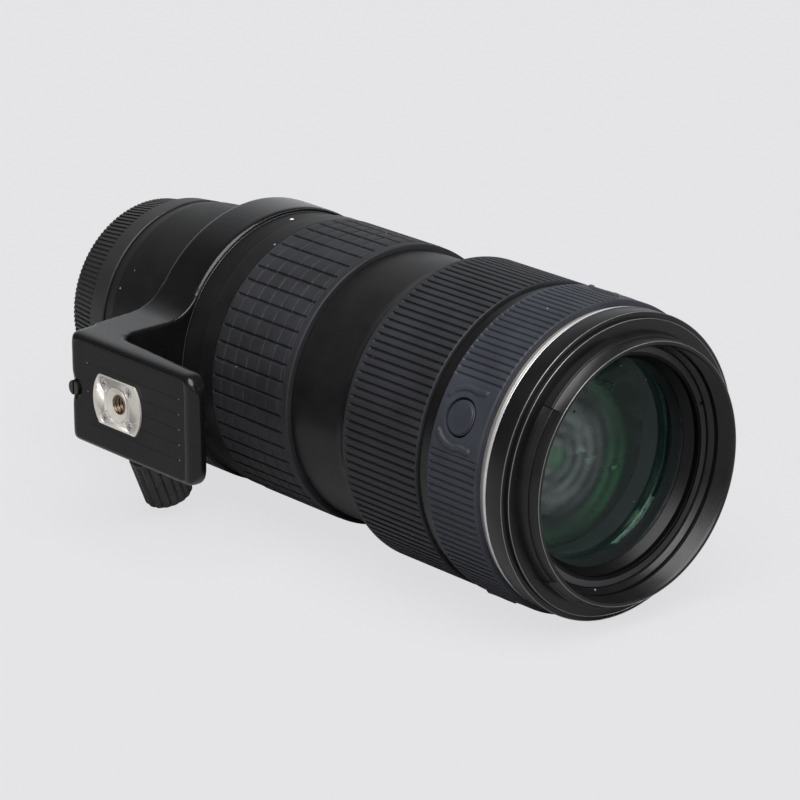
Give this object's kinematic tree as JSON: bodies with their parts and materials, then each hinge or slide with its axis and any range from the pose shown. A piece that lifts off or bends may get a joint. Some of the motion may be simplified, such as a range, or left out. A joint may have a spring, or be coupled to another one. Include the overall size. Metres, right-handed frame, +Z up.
{
  "type": "camera zoom lens",
  "caption": "Black tele zoom lens with ribbed zoom and focus rings, function buttons, turning tripod collar with foot, front filter thread, bayonet mount and rear cap",
  "frame": {"origin": "centre of the bayonet mount's flange face, on the optical axis", "axes": "the front of the lens points towards -Y and the mount towards +Y, the tripod foot points towards -X, +Z is up; the lens lies on its side as in the picture"},
  "size_m": [0.1257, 0.2328, 0.096],
  "materials": {
    "black_shell": "satin black paint with a fine grain on light alloy",
    "black_casting": "smooth semi-gloss black paint on light alloy",
    "black_front": "satin black anodising",
    "inner_black": "matt black on light alloy, against stray light",
    "grip_rubber": "matt black rubber",
    "button_rubber": "matt blue-grey rubber",
    "button_plastic": "smooth matt plastic",
    "pad_rubber": "matt black pad with fine grooves",
    "cap_plastic": "matt black plastic",
    "knob_plastic": "satin black plastic",
    "bright_mount": "polished plating",
    "plate_steel": "brushed, satin",
    "screw_steel": "bright zinc",
    "dark_screw": "blackened steel",
    "silver_trim": "fine turned",
    "grey_ring": "dark grey anodised",
    "inner_alloy": "plain turned",
    "gold_contact": "gold plated",
    "contact_plastic": "black",
    "coated_glass": "polished, with a green coating",
    "clear_glass": "polished",
    "window_clear": "clear plastic",
    "scale_plastic": "black with white marks",
    "blade_black": "matt black",
    "board_green": "green resist",
    "motor_steel": "plain"
  },
  "bodies": {
    "barrel": {"mount_bayonet": "bright_mount", "mount_screws": "screw_steel", "contact_block": "contact_plastic", "contact_pins": "gold_contact", "rear_barrel": "black_shell", "inner_barrel": "black_shell", "guide_tube": "inner_alloy", "mid_barrel": "black_shell", "distance_window": "window_clear", "front_barrel": "black_shell", "guide_rods": "screw_steel", "focus_motor": "motor_steel", "button_grip": "button_rubber", "button_switches": "contact_plastic", "silver_ring": "silver_trim", "front_ring": "black_front", "retaining_ring": "grey_ring", "front_cell": "inner_black", "front_glass": "coated_glass", "inner_glass": "clear_glass", "iris_housing": "inner_black", "rear_cell": "inner_black", "rear_glass": "coated_glass", "circuit_board": "board_green"},
    "collar": {"tripod_collar": "black_casting", "foot_panel": "pad_rubber", "socket_plate": "plate_steel", "socket_screws": "screw_steel", "stop_screw": "dark_screw"},
    "clamp": {"clamp_knob": "knob_plastic", "clamp_screw": "screw_steel"},
    "zoom": {"zoom_ring": "black_shell", "zoom_grip": "grip_rubber", "zoom_keys": "screw_steel", "cam_tube": "inner_alloy"},
    "variator": {"variator_cell": "inner_black", "variator_glass": "clear_glass"},
    "compensator": {"compensator_cell": "inner_black", "compensator_glass": "clear_glass"},
    "focus": {"focus_ring": "black_shell", "focus_grip": "grip_rubber"},
    "focus_group": {"focus_cell": "inner_black", "focus_glass": "clear_glass"},
    "drive": {"drive_screw": "screw_steel"},
    "scale": {"scale_drum": "scale_plastic"},
    "iris": {"iris_ring": "blade_black"},
    "cap": {"rear_cap": "cap_plastic"},
    "button_1_key": {"button_1": "button_plastic"},
    "button_2_key": {"button_2": "button_plastic"},
    "button_3_key": {"button_3": "button_plastic"},
    "button_4_key": {"button_4": "button_plastic"},
    "blade_1": {"iris_blade_1": "blade_black"},
    "blade_2": {"iris_blade_2": "blade_black"},
    "blade_3": {"iris_blade_3": "blade_black"},
    "blade_4": {"iris_blade_4": "blade_black"},
    "blade_5": {"iris_blade_5": "blade_black"},
    "blade_6": {"iris_blade_6": "blade_black"},
    "blade_7": {"iris_blade_7": "blade_black"},
    "blade_8": {"iris_blade_8": "blade_black"},
    "blade_9": {"iris_blade_9": "blade_black"}
  },
  "joints": [
    {"name": "collar_turn", "type": "hinge", "parent": "barrel", "child": "collar", "pos_m": [0, -0.0425, 0], "axis": [0, 1, 0], "continuous": true},
    {"name": "clamp_turn", "type": "hinge", "parent": "collar", "child": "clamp", "pos_m": [-0.0431, -0.0425, -0.0433], "axis": [-0.342, 0, 0.9397], "range_deg": [0, 540]},
    {"name": "zoom_turn", "type": "hinge", "parent": "barrel", "child": "zoom", "pos_m": [0, -0.082, 0], "axis": [0, 1, 0], "range_deg": [0, 80]},
    {"name": "variator_slide", "type": "slide", "parent": "barrel", "child": "variator", "axis": [0, -1, 0], "range_m": [0, 0.018]},
    {"name": "compensator_slide", "type": "slide", "parent": "barrel", "child": "compensator", "axis": [0, 1, 0], "range_m": [0, 0.006]},
    {"name": "focus_turn", "type": "hinge", "parent": "barrel", "child": "focus", "pos_m": [0, -0.149, 0], "axis": [0, 1, 0], "range_deg": [0, 150]},
    {"name": "focus_slide", "type": "slide", "parent": "barrel", "child": "focus_group", "axis": [0, -1, 0], "range_m": [0, 0.008]},
    {"name": "drive_turn", "type": "hinge", "parent": "barrel", "child": "drive", "pos_m": [0.0384, -0.146, 0], "axis": [0, 1, 0], "range_deg": [0, 720]},
    {"name": "scale_turn", "type": "hinge", "parent": "barrel", "child": "scale", "pos_m": [0, -0.1155, 0], "axis": [0, 1, 0], "range_deg": [0, 60]},
    {"name": "iris_turn", "type": "hinge", "parent": "barrel", "child": "iris", "pos_m": [0, -0.048, 0], "axis": [0, -1, 0], "range_deg": [0, 20]},
    {"name": "cap_off", "type": "slide", "parent": "barrel", "child": "cap", "axis": [0, 1, 0], "range_m": [0, 0.04]},
    {"name": "button_1_push", "type": "slide", "parent": "barrel", "child": "button_1_key", "axis": [0.91, 0, -0.4147], "range_m": [0, 0.0007], "stiffness_N_per_m": 300, "springref_m": -0.0004},
    {"name": "button_2_push", "type": "slide", "parent": "barrel", "child": "button_2_key", "axis": [0.4147, 0, 0.91], "range_m": [0, 0.0007], "stiffness_N_per_m": 300, "springref_m": -0.0004},
    {"name": "button_3_push", "type": "slide", "parent": "barrel", "child": "button_3_key", "axis": [-0.91, 0, 0.4147], "range_m": [0, 0.0007], "stiffness_N_per_m": 300, "springref_m": -0.0004},
    {"name": "button_4_push", "type": "slide", "parent": "barrel", "child": "button_4_key", "axis": [-0.4147, 0, -0.91], "range_m": [0, 0.0007], "stiffness_N_per_m": 300, "springref_m": -0.0004},
    {"name": "blade_1_swing", "type": "hinge", "parent": "barrel", "child": "blade_1", "pos_m": [0.0332, -0.0425, 0], "axis": [0, -1, 0], "range_deg": [0, 30]},
    {"name": "blade_2_swing", "type": "hinge", "parent": "barrel", "child": "blade_2", "pos_m": [0.02543, -0.0425, 0.02134], "axis": [0, -1, 0], "range_deg": [0, 30]},
    {"name": "blade_3_swing", "type": "hinge", "parent": "barrel", "child": "blade_3", "pos_m": [0.00577, -0.0425, 0.0327], "axis": [0, -1, 0], "range_deg": [0, 30]},
    {"name": "blade_4_swing", "type": "hinge", "parent": "barrel", "child": "blade_4", "pos_m": [-0.0166, -0.0425, 0.02875], "axis": [0, -1, 0], "range_deg": [0, 30]},
    {"name": "blade_5_swing", "type": "hinge", "parent": "barrel", "child": "blade_5", "pos_m": [-0.0312, -0.0425, 0.01136], "axis": [0, -1, 0], "range_deg": [0, 30]},
    {"name": "blade_6_swing", "type": "hinge", "parent": "barrel", "child": "blade_6", "pos_m": [-0.0312, -0.0425, -0.01136], "axis": [0, -1, 0], "range_deg": [0, 30]},
    {"name": "blade_7_swing", "type": "hinge", "parent": "barrel", "child": "blade_7", "pos_m": [-0.0166, -0.0425, -0.02875], "axis": [0, -1, 0], "range_deg": [0, 30]},
    {"name": "blade_8_swing", "type": "hinge", "parent": "barrel", "child": "blade_8", "pos_m": [0.00577, -0.0425, -0.0327], "axis": [0, -1, 0], "range_deg": [0, 30]},
    {"name": "blade_9_swing", "type": "hinge", "parent": "barrel", "child": "blade_9", "pos_m": [0.02543, -0.0425, -0.02134], "axis": [0, -1, 0], "range_deg": [0, 30]}
  ],
  "couplings": [
    {"joint": "variator_slide", "follows": "zoom_turn", "m_per_rad": 0.012892},
    {"joint": "compensator_slide", "follows": "zoom_turn", "m_per_rad": 0.0042972},
    {"joint": "focus_slide", "follows": "focus_turn", "m_per_rad": 0.0030558},
    {"joint": "drive_turn", "follows": "focus_turn", "ratio": 4.8},
    {"joint": "scale_turn", "follows": "focus_turn", "ratio": 0.4},
    {"joint": "blade_1_swing", "follows": "iris_turn", "ratio": 1.5},
    {"joint": "blade_2_swing", "follows": "iris_turn", "ratio": 1.5},
    {"joint": "blade_3_swing", "follows": "iris_turn", "ratio": 1.5},
    {"joint": "blade_4_swing", "follows": "iris_turn", "ratio": 1.5},
    {"joint": "blade_5_swing", "follows": "iris_turn", "ratio": 1.5},
    {"joint": "blade_6_swing", "follows": "iris_turn", "ratio": 1.5},
    {"joint": "blade_7_swing", "follows": "iris_turn", "ratio": 1.5},
    {"joint": "blade_8_swing", "follows": "iris_turn", "ratio": 1.5},
    {"joint": "blade_9_swing", "follows": "iris_turn", "ratio": 1.5}
  ]
}
